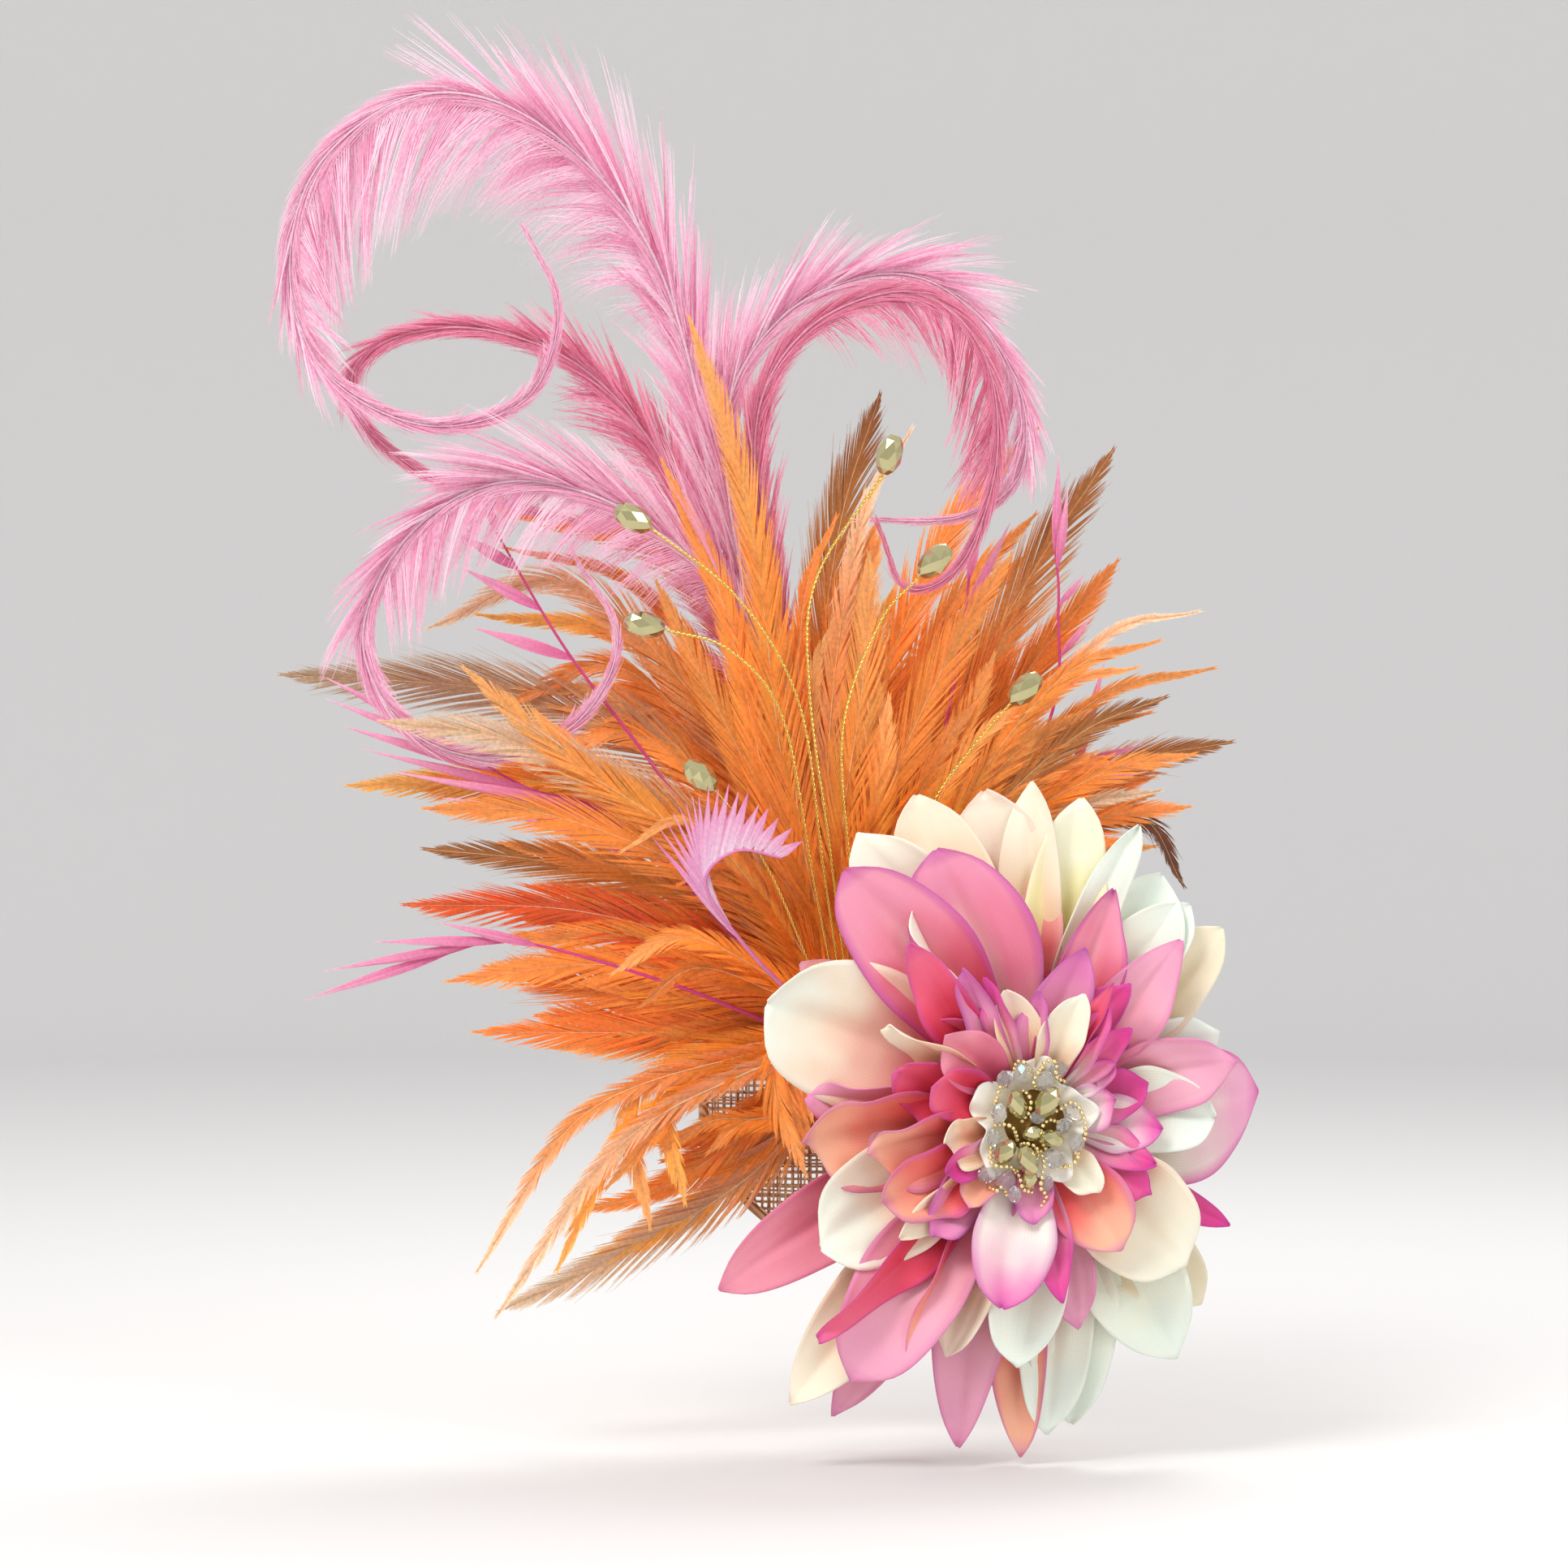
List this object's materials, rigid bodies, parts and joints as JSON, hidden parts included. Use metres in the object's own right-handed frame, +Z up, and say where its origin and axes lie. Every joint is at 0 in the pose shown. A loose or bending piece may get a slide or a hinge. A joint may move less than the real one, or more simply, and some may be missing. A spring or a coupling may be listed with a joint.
{
  "type": "feather and silk flower fascinator",
  "caption": "Side-worn fascinator: an oval straw base with fans of hackle feathers, curled plumes, beaded wires and a large silk flower with a crystal heart.",
  "frame": {"origin": "middle of the base's rim plane, where the base rests on the side of the head", "axes": "+Z up along the feather spray, +X towards the flower's side, -Y out from the head towards the viewer"},
  "size_m": [0.2986, 0.097, 0.4238],
  "materials": {
    "sinamay": "open plain weave of stiffened peach straw fibre",
    "comb_metal": "plain bent wire comb",
    "orange_feather": "dyed cock hackle, silky, some with brown or pale tips",
    "pink_feather": "dyed ostrich plume, loose hair-like barbs",
    "pink_biot": "dyed goose biot, smooth and stiff",
    "gold_wire": "two fine gold wires twisted together",
    "bead_glass": "faceted smoky gold glass",
    "petal_silk": "pressed silk, cream and mint shading to pink and magenta",
    "crystal": "cut glass stones, smoky gold and clear"
  },
  "bodies": {
    "root": {"sinamay_base": "sinamay", "comb": "comb_metal", "hackles_back": "orange_feather", "hackles_front": "orange_feather", "plume_tall_left": "pink_feather", "plume_low_left": "pink_feather", "plume_middle_left": "pink_feather", "plume_right_outer": "pink_feather", "plume_right_inner": "pink_feather", "biot_left_long": "pink_biot", "biot_left_low": "pink_biot", "biot_left_upper": "pink_biot", "biot_right_tall": "pink_biot", "biot_right_inner": "pink_biot", "biot_right_low": "pink_biot", "biot_front_fan": "pink_biot", "spray_wire_1": "gold_wire", "spray_wire_2": "gold_wire", "spray_wire_3": "gold_wire", "spray_wire_4": "gold_wire", "spray_wire_5": "gold_wire", "spray_wire_6": "gold_wire", "spray_bead_1": "bead_glass", "spray_bead_2": "bead_glass", "spray_bead_3": "bead_glass", "spray_bead_4": "bead_glass", "spray_bead_5": "bead_glass", "spray_bead_6": "bead_glass", "petals_back": "petal_silk", "petals_outer": "petal_silk", "petals_middle": "petal_silk", "petals_inner": "petal_silk", "crystal_cluster": "crystal"}
  },
  "joints": []
}
